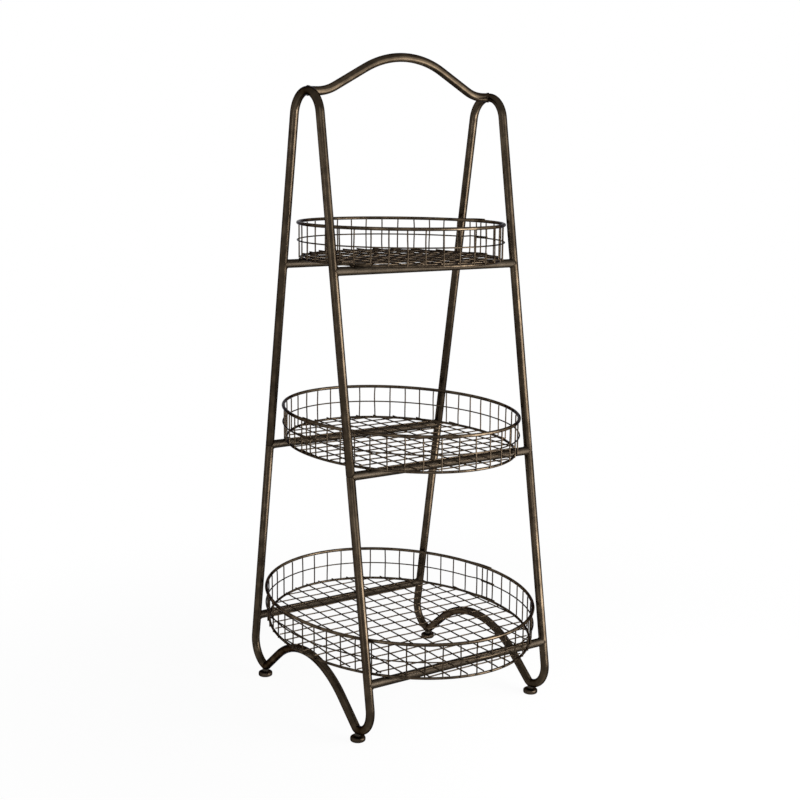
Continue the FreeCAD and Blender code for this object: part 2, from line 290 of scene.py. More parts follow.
def node(tree, kind, inputs=None, **settings):
    """A new node with its settings, and with values or links for its inputs."""
    made = tree.nodes.new(kind)
    for name, value in settings.items():
        setattr(made, name, value)
    for key, value in (inputs or {}).items():
        if isinstance(value, bpy.types.NodeSocket):
            tree.links.new(value, made.inputs[key])
        else:
            made.inputs[key].default_value = value
    return made


def put(tree, kind, inputs=None, **settings):
    """The first output of a new node."""
    return node(tree, kind, inputs, **settings).outputs[0]


def maths(tree, operation, *values):
    return put(tree, "ShaderNodeMath", dict(enumerate(values)), operation=operation)


def vectors(tree, operation, *values):
    return put(tree, "ShaderNodeVectorMath", dict(enumerate(values)), operation=operation)


def scaled(tree, vector, scale):
    return put(tree, "ShaderNodeVectorMath", {0: vector, "Scale": scale}, operation="SCALE")


def xyz(tree, **parts):
    return put(tree, "ShaderNodeCombineXYZ", parts)


def added(tree, base, *shares):
    """A base value with weighted values added to it."""
    for value, weight in shares:
        base = maths(tree, "MULTIPLY_ADD", value, weight, base)
    return base


def eased(tree, value, low, high, first=0.0, last=1.0):
    """Eases from a first number to a last one as a value goes from low to high."""
    return put(tree, "ShaderNodeMapRange",
               {"Value": value, "From Min": low, "From Max": high, "To Min": first,
                "To Max": last}, interpolation_type="SMOOTHSTEP")


def noise(tree, place, scale, detail, roughness=0.5, output=0):
    return node(tree, "ShaderNodeTexNoise", {"Vector": place, "Scale": scale, "Detail": detail,
                                             "Roughness": roughness}).outputs[output]


def blend(tree, share, low, high):
    """Mixes two colours."""
    return node(tree, "ShaderNodeMix", {0: share, 6: low, 7: high}, data_type="RGBA").outputs[2]


def open_tree(kind, name, inputs, outputs):
    """A node group and its two end nodes. A socket has a default or the name of its type."""
    tree = bpy.data.node_groups.new(name, kind)
    types = {float: "Float", int: "Int", tuple: "Color"}
    for direction, sockets in (("INPUT", inputs), ("OUTPUT", outputs)):
        for label, value in sockets.items():
            bare = isinstance(value, str)
            socket = tree.interface.new_socket(
                label, in_out=direction,
                socket_type="NodeSocket" + (value if bare else types[type(value)]))
            if not bare:
                socket.default_value = value
    return tree, tree.nodes.new("NodeGroupInput").outputs, tree.nodes.new("NodeGroupOutput").inputs


# Geometry trees

def shape_tree(name, sizes):
    return open_tree("GeometryNodeTree", name,
                     {"Geometry": "Geometry", **sizes, "Finish": "Material"},
                     {"Geometry": "Geometry"})


def captured(tree, geometry, kind, value):
    """A geometry with a field captured on its points, and the captured field."""
    keep = tree.nodes.new("GeometryNodeCaptureAttribute")
    keep.capture_items.new(kind, "kept")
    tree.links.new(geometry, keep.inputs["Geometry"])
    tree.links.new(value, keep.inputs["kept"])
    return keep.outputs["Geometry"], keep.outputs["kept"]


def position(tree):
    return put(tree, "GeometryNodeInputPosition")


def jitter(tree, scale):
    """Smooth offsets of up to half a unit each way, by place."""
    cloud = noise(tree, position(tree), scale, 1.0, output="Color")
    return vectors(tree, "SUBTRACT", cloud, (0.5, 0.5, 0.5))


def random_vector(tree, seed, low, high):
    return put(tree, "FunctionNodeRandomValue", {0: low, 1: high, "Seed": seed},
               data_type="FLOAT_VECTOR")


def copies(tree, points, shape, scale):
    """A shape put on each point, as plain geometry."""
    spread = put(tree, "GeometryNodeInstanceOnPoints",
                 {"Points": points, "Instance": shape, "Scale": scale})
    return put(tree, "GeometryNodeRealizeInstances", {"Geometry": spread})


def moved(tree, geometry, offset):
    return put(tree, "GeometryNodeSetPosition", {"Geometry": geometry, "Offset": offset})


def close_tree(tree, geometry, finish, closing):
    """Smooths the geometry and ends the tree with Realize Instances and Set Material."""
    smooth = put(tree, "GeometryNodeSetShadeSmooth", {"Geometry": geometry})
    plain = put(tree, "GeometryNodeRealizeInstances", {"Geometry": smooth})
    coated = put(tree, "GeometryNodeSetMaterial", {"Geometry": plain, "Material": finish})
    tree.links.new(coated, closing["Geometry"])
    return tree


def wire_skin(tree, curve, diameter, sides, girth, finish, closing):
    """Sweeps round stock along curves and closes the tree.

    The stock attribute unrolls the surface: across it in X and Y, and along it in Z."""
    run = node(tree, "GeometryNodeSplineParameter").outputs["Length"]
    curve, run = captured(tree, curve, "FLOAT", run)
    circle = put(tree, "GeometryNodeCurvePrimitiveCircle",
                 {"Resolution": sides, "Radius": maths(tree, "MULTIPLY", diameter, 0.5)})
    profile, around = captured(tree, circle, "VECTOR", position(tree))
    skin = put(tree, "GeometryNodeCurveToMesh",
               {"Curve": curve, "Profile Curve": profile, "Scale": girth, "Fill Caps": True})
    stock = vectors(tree, "ADD", around, xyz(tree, Z=run))
    marked = put(tree, "GeometryNodeStoreNamedAttribute",
                 {"Geometry": skin, "Name": "stock", "Value": stock},
                 data_type="FLOAT_VECTOR", domain="POINT")
    return close_tree(tree, marked, finish, closing)


def bent_stock_tree():
    """Round stock swept along a drawn line, with lumps for weld beads."""
    tree, start, closing = shape_tree("Bent round stock", {
        "Diameter": 12.7 * MM, "Sides": 32, "Lumpiness": 0.0, "Lump Size": 3 * MM})
    line = put(tree, "GeometryNodeMeshToCurve", {"Mesh": start["Geometry"]})
    lump = xyz(tree, **{axis: start["Lump Size"] for axis in "XYZ"})
    lumps = noise(tree, vectors(tree, "DIVIDE", position(tree), lump), 1.0, 1.0)
    swell = maths(tree, "MULTIPLY_ADD", maths(tree, "SUBTRACT", lumps, 0.5),
                  start["Lumpiness"], 1.0)
    girth = put(tree, "GeometryNodeInputNamedAttribute", {"Name": "girth"}, data_type="FLOAT")
    return wire_skin(tree, line, start["Diameter"], start["Sides"],
                     maths(tree, "MULTIPLY", girth, swell), start["Finish"], closing)


def wall_wires_tree():
    """Upright wires on drawn points round a basket, each a little out of true."""
    tree, start, closing = shape_tree("Basket wall wires", {
        "Foot": 0.1, "Head": 0.15, "Wire": 2.1 * MM, "Wander": 0.8 * MM, "Seed": 1})
    points, stray = captured(tree, start["Geometry"], "VECTOR", random_vector(
        tree, start["Seed"], (-1.0, -1.0, -1.0), (1.0, 1.0, 1.0)))
    wire = put(tree, "GeometryNodeCurvePrimitiveLine",
               {"Start": xyz(tree, Z=start["Foot"]), "End": xyz(tree, Z=start["Head"])})
    fine = put(tree, "GeometryNodeResampleCurve",
               {"Curve": copies(tree, points, wire, (1, 1, 1)), "Count": WALL_WIRE_POINTS})
    share = node(tree, "GeometryNodeSplineParameter").outputs["Factor"]
    parts = node(tree, "ShaderNodeSeparateXYZ", {0: stray}).outputs
    bow = maths(tree, "SINE", maths(tree, "MULTIPLY", share, math.pi))
    bend = maths(tree, "SINE", maths(tree, "MULTIPLY", share, TURN))
    lean = maths(tree, "SUBTRACT", 1.0, share)
    amount = added(tree, 0.0, (bow, parts["X"]),
                   (maths(tree, "MULTIPLY", bend, UPRIGHT_BEND), parts["Y"]),
                   (maths(tree, "MULTIPLY", lean, UPRIGHT_LEAN), parts["Z"]))
    sideways = vectors(tree, "NORMALIZE", vectors(tree, "CROSS_PRODUCT", position(tree), UP))
    bent = moved(tree, fine, scaled(tree, sideways,
                                    maths(tree, "MULTIPLY", amount, start["Wander"])))
    return wire_skin(tree, bent, start["Wire"], MESH_SIDES, 1.0, start["Finish"], closing)


def floor_wires_tree():
    """Parallel wires of a basket floor, trimmed to an oval and slightly wavy."""
    tree, start, closing = shape_tree("Basket floor wires", {
        "Half Run": 0.2, "Half Across": 0.2, "Height": 0.1, "Count": 15, "First Offset": -0.18,
        "Pitch": 25.4 * MM, "Turn": 0.0, "Wire": 2.1 * MM, "Wander": 0.8 * MM})
    points = put(tree, "GeometryNodeMeshLine",
                 {"Count": start["Count"], "Start Location": xyz(tree, Y=start["First Offset"]),
                  "Offset": xyz(tree, Y=start["Pitch"])}, mode="OFFSET")
    across = node(tree, "ShaderNodeSeparateXYZ", {0: position(tree)}).outputs["Y"]
    edge = maths(tree, "MULTIPLY_ADD", start["Wire"], 0.5, maths(tree, "ABSOLUTE", across))
    share = maths(tree, "DIVIDE", edge, start["Half Across"])
    half = maths(tree, "MULTIPLY", start["Half Run"], maths(
        tree, "SQRT", maths(tree, "SUBTRACT", 1.0, maths(tree, "POWER", share, 2.0))))
    wire = put(tree, "GeometryNodeCurvePrimitiveLine", {"Start": (-1, 0, 0), "End": (1, 0, 0)})
    row = copies(tree, points, wire, xyz(tree, X=half, Y=1.0, Z=1.0))
    fine = put(tree, "GeometryNodeResampleCurve", {"Curve": row, "Length": FLOOR_WIRE_STEP},
               mode="LENGTH")
    wave = vectors(tree, "MULTIPLY", jitter(tree, FLOOR_WAVES), FLOOR_WAVE)
    bent = moved(tree, fine, scaled(tree, wave, start["Wander"]))
    turn = put(tree, "FunctionNodeEulerToRotation", {"Euler": xyz(tree, Z=start["Turn"])})
    laid = put(tree, "GeometryNodeTransform",
               {"Geometry": bent, "Translation": xyz(tree, Z=start["Height"]), "Rotation": turn})
    return wire_skin(tree, laid, start["Wire"], MESH_SIDES, 1.0, start["Finish"], closing)


def tack_welds_tree():
    """Small lumpy drops of weld at drawn points."""
    tree, start, closing = shape_tree("Tack welds", {"Size": TACK_WELD, "Seed": 3})
    drop = put(tree, "GeometryNodeMeshIcoSphere", {"Radius": start["Size"], "Subdivisions": 3})
    flatness = random_vector(tree, start["Seed"], TACK_FLATTEST, TACK_FULLEST)
    drops = copies(tree, start["Geometry"], drop, flatness)
    lumpy = moved(tree, drops, scaled(tree, jitter(tree, TACK_LUMPS), start["Size"]))
    return close_tree(tree, lumpy, start["Finish"], closing)


TREE_MAKERS = {"Bent round stock": bent_stock_tree, "Basket wall wires": wall_wires_tree,
               "Basket floor wires": floor_wires_tree, "Tack welds": tack_welds_tree}


# Pieces

def placed(name, mesh):
    piece = bpy.data.objects.new(name, mesh)
    bpy.context.scene.collection.objects.link(piece)
    return piece


def grown(tree_name, name, points, values, closed=False, girths=None, bores=()):
    """A plain mesh object that a tree grows from a chain of points."""
    tree = bpy.data.node_groups.get(tree_name) or TREE_MAKERS[tree_name]()
    count = len(points)
    links = [(index, index + 1) for index in range(count - 1)]
    if closed:
        links.append((count - 1, 0))
    guide = bpy.data.meshes.new(name)
    guide.from_pydata([tuple(point) for point in points], links, [])
    girth = guide.attributes.new("girth", "FLOAT", "POINT")
    girth.data.foreach_set("value", girths or [1.0] * count)
    piece = placed(name, guide)
    shape = piece.modifiers.new("Shape", "NODES")
    shape.node_group = tree
    identifiers = {item.name: item.identifier for item in tree.interface.items_tree
                   if item.item_type == "SOCKET" and item.in_out == "INPUT"}
    for label, value in values.items():
        shape[identifiers[label]] = value
    for drill in bores:
        cut = piece.modifiers.new("Bore", "BOOLEAN")
        cut.object = drill
        cut.operation = "DIFFERENCE"
        cut.solver = "EXACT"
    bpy.context.view_layer.update()
    graph = bpy.context.evaluated_depsgraph_get()
    plain = bpy.data.meshes.new_from_object(piece.evaluated_get(graph), depsgraph=graph,
                                            preserve_all_data_layers=True)
    piece.modifiers.clear()
    piece.data = plain
    plain.name = name
    bpy.data.meshes.remove(guide)
    face_outwards(plain)
    plain.set_sharp_from_angle(angle=STOCK_SHARP)
    return piece


def face_outwards(mesh):
    """Turns a closed mesh right side out."""
    shell = bmesh.new()
    shell.from_mesh(mesh)
    if shell.calc_volume(signed=True) < 0:
        mesh.flip_normals()
    shell.free()


def bent(name, points, diameter, sides, finish, lumpiness=0.0, **options):
    """A piece of bronzed round stock that follows a line of points."""
    values = {"Diameter": diameter, "Sides": sides, "Lumpiness": lumpiness,
              "Lump Size": WELD_LUMP, "Finish": bronze(finish)}
    return grown("Bent round stock", name, points, values, **options)


def bent_tube(name, points, finish="Bronzed tube", **options):
    sizes = bpy.context.scene.etagere_frame
    return bent(name, points, sizes.tube, sizes.tube_facets, finish, **options)


def turned(name, shell, sharp, finish):
    """A smooth piece from a shell, with sharp edges past an angle."""
    mesh = bpy.data.meshes.new(name)
    shell.to_mesh(mesh)
    shell.free()
    mesh.polygons.foreach_set("use_smooth", [True] * len(mesh.polygons))
    mesh.set_sharp_from_angle(angle=sharp)
    mesh.materials.append(finish)
    return placed(name, mesh)


def corner_ring(shell, centre, height, reaches):
    """Corners round an upright axis, each at its own reach."""
    return [shell.verts.new(centre + Vector((
        reach * math.cos(TURN * step / len(reaches)), reach * math.sin(TURN * step / len(reaches)),
        height))) for step, reach in enumerate(reaches)]


def join_rings(shell, pairs):
    """Faces between pairs of rings. A ring of one corner is a point on the axis."""
    for low, high in pairs:
        steps = max(len(low), len(high))
        for step in range(steps if steps > 1 else 0):
            after = (step + 1) % steps
            corners = [low[step % len(low)], low[after % len(low)],
                       high[after % len(high)], high[step % len(high)]]
            shell.faces.new(list(dict.fromkeys(corners)))


def spun(name, profile, centre, steps, finish):
    """A turned piece from a closed profile of (radius, height) pairs."""
    shell = bmesh.new()
    rings = [corner_ring(shell, centre, height, [radius] * (steps if radius else 1))
             for radius, height in profile]
    join_rings(shell, zip(rings, rings[1:] + rings[:1]))
    bmesh.ops.recalc_face_normals(shell, faces=shell.faces)
    return turned(name, shell, TURNED_SHARP, finish)


def threaded_stud(name, foot, radius, pitch, low, high):
    """A stud whose surface rises and falls along a helix."""
    rows = round((high - low) / pitch * ROWS_PER_THREAD)
    shell = bmesh.new()
    rings = []
    for row in range(rows + 1):
        height = low + (high - low) * row / rows
        phases = [((height - low) / pitch - step / STUD_SIDES) % 1.0 for step in range(STUD_SIDES)]
        rings.append(corner_ring(shell, foot, height, [
            radius - THREAD_DEPTH * abs(2 * phase - 1) for phase in phases]))
    join_rings(shell, zip(rings, rings[1:]))
    shell.faces.new(rings[0][::-1])
    shell.faces.new(rings[-1])
    return turned(name, shell, THREAD_SHARP, dark_plating())


def fitted(piece, slot, *nodes, body=STAND):
    """Puts a finished piece in the frame in place of its CAD nodes."""
    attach(piece, body)
    if nodes:
        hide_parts(*nodes)


# Finishes

def patina_group():
    """Mottled dark bronze with rubbed patches, fine hammer marks and streaks along the stock."""
    name = "Rubbed bronze patina"
    if name in bpy.data.node_groups:
        return bpy.data.node_groups[name]
    tree, start, closing = open_tree("ShaderNodeTree", name, {
        "Place": "Vector", "Stock": "Vector", "Shade": (0.02, 0.015, 0.01, 1),
        "Body": (0.05, 0.035, 0.025, 1), "Rubbed": (0.13, 0.09, 0.06, 1),
        "Mottle Scale": 60.0, "Grain Scale": 700.0, "Wear": 0.5, "Dullness": 0.2},
        {"Color": "Color", "Roughness": "Float", "Height": "Float"})
    mottle = noise(tree, start["Place"], start["Mottle Scale"], 4.0, 0.6)
    grain = noise(tree, start["Place"], start["Grain Scale"], 3.0, 0.65)
    streak = noise(tree, vectors(tree, "MULTIPLY", start["Stock"], STREAK_STRETCH), 1.0, 3.0)
    base = blend(tree, eased(tree, mottle, 0.3, 0.7), start["Shade"], start["Body"])
    mixed = added(tree, 0.0, (mottle, MOTTLE_SHARE), (grain, GRAIN_SHARE),
                  (streak, STREAK_SHARE))
    rubbing = added(tree, RUBBING, (start["Wear"], RUBBING_WITH_WEAR))
    rub = eased(tree, mixed, rubbing, maths(tree, "ADD", rubbing, RUBBING_SPREAD))
    results = {"Color": blend(tree, rub, base, start["Rubbed"]),
               "Roughness": added(tree, start["Dullness"], (rub, -0.06), (mottle, 0.10),
                                  (grain, 0.03)),
               "Height": added(tree, grain, (streak, 0.4))}
    for label, value in results.items():
        tree.links.new(value, closing[label])
    return tree


def new_metal(name):
    """A new metal finish, its tree, its surface and its object coordinates."""
    material = bpy.data.materials.new(name)
    material.use_nodes = True
    tree = material.node_tree
    surface = tree.nodes["Principled BSDF"].inputs
    surface["Metallic"].default_value = 1.0
    return material, tree, surface, node(tree, "ShaderNodeTexCoord").outputs["Object"]


def dress(tree, surface, tone, roughness, height, strength, depth):
    """Joins a tone, a roughness and a relief to a surface."""
    relief = put(tree, "ShaderNodeBump",
                 {"Strength": strength, "Distance": depth, "Height": height})
    for label, value in (("Base Color", tone), ("Roughness", roughness), ("Normal", relief)):
        tree.links.new(value, surface[label])


def bronze(name):
    """A bronzed finish with its own tones and scales."""
    if name in bpy.data.materials:
        return bpy.data.materials[name]
    tones, mottle, grain, wear, dullness, relief = BRONZES[name]
    material, tree, surface, place = new_metal(name)
    surface["Specular Tint"].default_value = BRONZE_EDGE_TINT
    values = {"Place": place, "Mottle Scale": mottle, "Grain Scale": grain, "Wear": wear,
              "Dullness": dullness,
              "Stock": node(tree, "ShaderNodeAttribute", attribute_name="stock").outputs["Vector"]}
    for label, tone in zip(("Shade", "Body", "Rubbed"), tones):
        values[label] = (*getattr(bpy.context.scene.etagere_finish, tone), 1)
    patina = node(tree, "ShaderNodeGroup", node_tree=patina_group(), inputs=values).outputs
    dress(tree, surface, patina["Color"], patina["Roughness"], patina["Height"], relief,
          BRONZE_RELIEF)
    return material


def dark_plating():
    """Darkened plating with fine turning marks."""
    name = "Darkened plating"
    if name in bpy.data.materials:
        return bpy.data.materials[name]
    material, tree, surface, place = new_metal(name)
    marks = noise(tree, vectors(tree, "MULTIPLY", place, TURNING_MARKS), 1.0, 2.0)
    blotch = noise(tree, place, 250.0, 2.0)
    dark, light = ((*[min(1, value * share) for value in bpy.context.scene.etagere_finish.plating],
                    1) for share in (0.75, 1.25))
    dress(tree, surface, blend(tree, blotch, dark, light), added(tree, 0.25, (blotch, 0.25)),
          marks, 0.25, PLATING_RELIEF)
    return material


# The frame's centrelines, worked out as (distance from the middle, height) pairs

def on_circle(centre, radius, bearing):
    return (centre[0] + radius * math.cos(bearing), centre[1] + radius * math.sin(bearing))


def arc(centre, radius, start, finish, step=BEND_STEP):
    count = max(2, math.ceil(abs(finish - start) / step))
    return [on_circle(centre, radius, start + (finish - start) * index / count)
            for index in range(count + 1)]


def outline(sizes):
    """Bend centres and angles of one side frame."""
    tube = sizes.tube / 2
    crown = (0.0, sizes.overall_height - tube - sizes.handle_rise - sizes.crown_bend)
    join = sizes.foot_bend_end - QUARTER
    offset = sizes.foot_bend - sizes.inner_bend
    lowest = sizes.foot_clearance + tube
    foot = (sizes.overall_depth / 2 - tube - sizes.foot_bend,
            lowest + sizes.inner_bend - offset * math.sin(join))
    inner = on_circle(foot, offset, join)
    reach = (foot[0] - crown[0], foot[1] - crown[1])
    leg = math.atan2(reach[1], reach[0]) + math.acos(
        (sizes.crown_bend - sizes.foot_bend) / math.hypot(*reach))
    slope = sizes.hump_slope
    rise = on_circle(inner, sizes.inner_bend, -QUARTER - slope)
    level = rise[0] * math.sin(slope) + rise[1] * math.cos(slope)
    hump_bend = (level - sizes.hump_height * math.cos(slope)) / (1 - math.cos(slope))
    return SimpleNamespace(
        crown=crown, foot=foot, inner=inner, join=join, leg=leg, hump_bend=hump_bend,
        hump=(0.0, sizes.hump_height - hump_bend), handle=(0.0, crown[1] + sizes.crown_bend),
        shoulder=on_circle(crown, sizes.crown_bend, leg),
        heel=on_circle(foot, sizes.foot_bend, leg))


def leg_distance(line, height):
    """Distance of a leg's centreline from the middle plane at a height."""
    top, low = line.shoulder, line.heel
    return top[0] + (low[0] - top[0]) * (top[1] - height) / (top[1] - low[1])


def leg_pair(line, height, end=1):
    return (end * leg_distance(line, height), height)


def crown_pairs(sizes, line, seam):
    bend = arc(line.crown, sizes.crown_bend, math.pi - line.leg, line.leg)
    return [leg_pair(line, seam, -1)] + bend + [leg_pair(line, seam, 1)]


def foot_pairs(sizes, line, seam):
    slope = sizes.hump_slope
    half = [leg_pair(line, seam)]
    half += arc(line.foot, sizes.foot_bend, line.leg, line.join)
    half += arc(line.inner, sizes.inner_bend, line.join, -QUARTER - slope,
                TIGHT_BEND_STEP)[1:]
    hump = arc(line.hump, line.hump_bend, QUARTER + slope, QUARTER - slope)
    return [(-y, z) for y, z in half] + hump + half[::-1]


def seamed(pairs, side, sizes):
    """A side tube's points with one more near each end, and its girths, narrowed at the seams."""
    points = [Vector((side * sizes.spacing / 2, *pair)) for pair in pairs]
    head = points[0] + (points[1] - points[0]).normalized() * sizes.seam
    tail = points[-1] + (points[-2] - points[-1]).normalized() * sizes.seam
    line = [points[0], head] + points[1:-1] + [tail, points[-1]]
    return line, [SEAM_GIRTH] + [1.0] * (len(line) - 2) + [SEAM_GIRTH]


def foot_place(sizes, line, side, end):
    """The place on the floor under the middle of a foot."""
    return Vector((side * sizes.spacing / 2, end * line.inner[0], 0))


def handle_pairs(sizes, line):
    """Centreline of the handle as (distance along X, height) pairs."""
    slope = sizes.handle_slope
    level = line.handle[1]
    apex = level + sizes.handle_rise
    start = sizes.spacing / 2 - sizes.tube / 2 - sizes.handle_straight
    bend = arc((-start, level + sizes.handle_end_bend), sizes.handle_end_bend, -QUARTER,
               slope - QUARTER)
    climb = bend[-1][1] - bend[-1][0] * math.tan(slope)
    radius = (climb - apex) / (1 / math.cos(slope) - 1)
    top = arc((0, apex - radius), radius, QUARTER + slope, QUARTER - slope, ARCH_STEP)
    right = [(-x, z) for x, z in bend[::-1]]
    half = sizes.spacing / 2
    arch = [(x + sizes.handle_lean * (1 - (x / half) ** 2), z) for x, z in bend + top + right]
    return [(-half, level)] + arch + [(half, level)]


def from_leg(line, height, end):
    """Measures how far a point (y, z) lies off a leg's centreline."""
    y, z = leg_pair(line, height, end)
    y_top, z_top = line.shoulder
    run = Vector((end * y_top - y, z_top - z)).normalized()
    return lambda place: (place[0] - y) * run[1] - (place[1] - z) * run[0]


def from_crown(sizes, line):
    """Measures how far a point (y, z) lies off the crown bend's centreline."""
    centre = line.crown
    return lambda place: math.hypot(place[0], place[1] - centre[1]) - sizes.crown_bend


def bar_places(line):
    """Each crossbar's name, its middle as (y, z), and the measure of its legs."""
    for tier, height in zip(TIERS, bpy.context.scene.etagere_basket.tier_heights):
        for name, end in ENDS.items():
            yield ("%s_%s" % (tier, name), leg_pair(line, height, end),
                   from_leg(line, height, end))


def cope_reach(sizes, gap):
    """How far along X a cross tube reaches where it passes a side tube's centreline at a gap."""
    return sizes.spacing / 2 - math.sqrt(max(0.0, (sizes.tube / 2) ** 2 - gap ** 2))


def coped(piece, sizes, off_centre):
    """Draws the end faces of a cross tube back to the surface of the tubes that it meets."""
    for vertex in piece.data.vertices:
        limit = cope_reach(sizes, off_centre((vertex.co.y, vertex.co.z)))
        vertex.co.x = math.copysign(min(abs(vertex.co.x), limit), vertex.co.x)


def cope_line(centre, side, sizes, off_centre):
    """The closed line on which the end of a cross tube meets another tube."""
    places = [on_circle(centre, sizes.tube / 2, TURN * (index + 0.5) / COPE_STEPS)
              for index in range(COPE_STEPS)]
    return [Vector((side * cope_reach(sizes, off_centre(place)), *place)) for place in places]


# Baskets

class Oval:
    """A level oval about the middle of the stand, measured clockwise round it from a bearing."""

    def __init__(self, width, depth, bearing):
        self.width = width
        self.depth = depth
        first = math.atan2(math.sin(bearing) / depth, math.cos(bearing) / width)
        self.turns = [first - TURN * step / OVAL_STEPS for step in range(OVAL_STEPS + 1)]
        line = [self.point(turn) for turn in self.turns]
        self.gone = [0.0]
        for here, there in zip(line, line[1:]):
            self.gone.append(self.gone[-1] + (there - here).length)
        self.around = self.gone[-1]

    def point(self, turn):
        return Vector((self.width * math.cos(turn), self.depth * math.sin(turn), 0))

    def at(self, distance, outwards=0.0, height=0.0):
        """The place a distance round the oval, moved out from it and up."""
        distance %= self.around
        index = min(bisect_right(self.gone, distance), len(self.gone) - 1)
        low, high = self.gone[index - 1], self.gone[index]
        share = (distance - low) / (high - low)
        turn = self.turns[index - 1] * (1 - share) + self.turns[index] * share
        out = Vector((math.cos(turn) / self.width, math.sin(turn) / self.depth, 0)).normalized()
        return self.point(turn) + out * outwards + UP * height

    def ring(self, outwards, height):
        return [self.at(self.around * index / RING_STEPS, outwards, height)
                for index in range(RING_STEPS)]


def wall_places(around, pitch, clear):
    """Distances round a wall to its wires: one pitch apart, and on past the first over the lap."""
    places = []
    for index in range(math.floor(around / pitch) + 2):
        lapped = index * pitch - around
        nearest = pitch * max(0, round(lapped / pitch))
        if abs(lapped - nearest) > clear:
            places.append(index * pitch)
    return places


def basket_layout(tier):
    """Levels, wall oval, wall wire places, and each edge ring's offset and level, of a basket."""
    sizes = bpy.context.scene.etagere_frame
    basket = bpy.context.scene.etagere_basket
    base = basket.tier_heights[tier] + sizes.tube / 2 + basket.base_wire / 2
    rim = base + basket.wall_cells * basket.pitch
    ratio = basket.depth_ratios[tier]
    leg = Vector((sizes.spacing / 2, leg_distance(outline(sizes), rim), 0))
    corner = leg * (1 - (sizes.tube / 2 + basket.leg_gaps[tier] + basket.rim_wire / 2) / leg.length)
    rim_width = math.hypot(corner.x, corner.y / ratio)
    wall = Oval(rim_width - basket.rim_overhang, rim_width * ratio - basket.rim_overhang,
                basket.lap_angles[tier])
    inset = (basket.mesh_wire + basket.base_wire) / 2
    return SimpleNamespace(
        tier=tier, base=base, rim=rim, wall=wall, base_inset=inset,
        places=wall_places(wall.around, basket.pitch, basket.mesh_wire + UPRIGHT_CLEARANCE),
        edges={"rim": (basket.rim_overhang, rim), "base": (-inset, base)})


def baskets():
    """Each basket's name and layout."""
    for tier, name in enumerate(TIERS):
        yield name, basket_layout(tier)


def lapped_strand(layout, height, wire, tail):
    """A level wire that goes round once and laps over its own start."""
    wall = layout.wall
    start = -tail / 3
    finish = layout.places[-1] + tail
    points = []
    for index in range(STRAND_STEPS + 1):
        distance = start + (finish - start) * index / STRAND_STEPS
        over = min(1.0, max(0.0, (distance - wall.around - start + 2 * tail) / (1.6 * tail)))
        lift = STRAND_LIFT * wire * over * over * (3 - 2 * over)
        points.append(wall.at(distance, wire, height + lift))
    return points


def lapped_end(layout, edge):
    """The end of an edge wire of the wall mesh, which lies over a ring at the lap."""
    outwards, ring = layout.edges[edge]
    above, rise, before, past = (value * MM for value in LAPPED_EDGES[edge])
    start, finish = layout.places[-1] + before, layout.places[-1] + past
    points = []
    for index in range(LAP_STEPS + 1):
        share = index / LAP_STEPS
        points.append(layout.wall.at(start + (finish - start) * share, outwards,
                                        ring + above + rise * share * (2 - share)))
    return points


class ETAGERE_OT_side_frames(Operator):
    """Bends the two hoops and the two humped lower frames from round tube"""
    bl_idname = "etagere.side_frames"
    bl_label = "Side frames"

    def execute(self, context):
        sizes = context.scene.etagere_frame
        glide = context.scene.etagere_glide
        seam = context.scene.etagere_basket.tier_heights[1]
        line = outline(sizes)
        top = glide.pad_height + GLIDE_GAP + glide.sleeve_length
        hole = glide.sleeve / 2 + SLEEVE_PLAY
        bore = [(0, 0), (hole, 0), (hole, top), (0, top)]
        for name, side in SIDES.items():
            points, girths = seamed(crown_pairs(sizes, line, seam), side, sizes)
            hoop = bent_tube("hoop_tube_" + name, points, girths=girths)
            fitted(hoop, TUBE_SLOT, "hoop_" + name)
            points, girths = seamed(foot_pairs(sizes, line, seam), side, sizes)
            drills = [spun("drill", bore, foot_place(sizes, line, side, end),
                           DRILL_SIDES, None)
                      for end in ENDS.values()]
            base = bent_tube("foot_tube_" + name, points, girths=girths, bores=drills)
            for drill in drills:
                bpy.data.objects.remove(drill)
            fitted(base, TUBE_SLOT, "base_frame_" + name)
        return {"FINISHED"}


class ETAGERE_OT_handle(Operator):
    """Bends the arched carrying handle and copes it to the crowns"""
    bl_idname = "etagere.handle"
    bl_label = "Handle"

    def execute(self, context):
        sizes = context.scene.etagere_frame
        line = outline(sizes)
        points = [Vector((x, 0, z)) for x, z in handle_pairs(sizes, line)]
        handle = bent_tube("handle_tube", points)
        coped(handle, sizes, from_crown(sizes, line))
        fitted(handle, TUBE_SLOT, "handle")
        return {"FINISHED"}


class ETAGERE_OT_crossbars(Operator):
    """Cuts the six crossbars and copes them to the legs"""
    bl_idname = "etagere.crossbars"
    bl_label = "Crossbars"

    def execute(self, context):
        sizes = context.scene.etagere_frame
        for name, middle, off_leg in bar_places(outline(sizes)):
            points = [Vector((side * sizes.spacing / 2, *middle)) for side in SIDES.values()]
            # The crossbars take a darker finish than the rest of the tube, which holds painted
            # shade
            bar = bent_tube("bar_" + name, points, "Bronzed crossbar")
            coped(bar, sizes, off_leg)
            fitted(bar, TUBE_SLOT, "crossbar_" + name)
        return {"FINISHED"}


class ETAGERE_OT_weld_beads(Operator):
    """Runs a lumpy bead round each end of the crossbars and the handle"""
    bl_idname = "etagere.weld_beads"
    bl_label = "Weld beads"

    def execute(self, context):
        sizes = context.scene.etagere_frame
        line = outline(sizes)
        joints = [*bar_places(line), ("handle", line.handle, from_crown(sizes, line))]
        for name, middle, off_centre in joints:
            for side_name, side in SIDES.items():
                bead = bent("weld_%s_%s" % (name, side_name),
                            cope_line(middle, side, sizes, off_centre), WELD_BEAD, BEAD_SIDES,
                            "Bronzed weld", WELD_LUMPINESS, closed=True)
                fitted(bead, TUBE_SLOT)
        return {"FINISHED"}


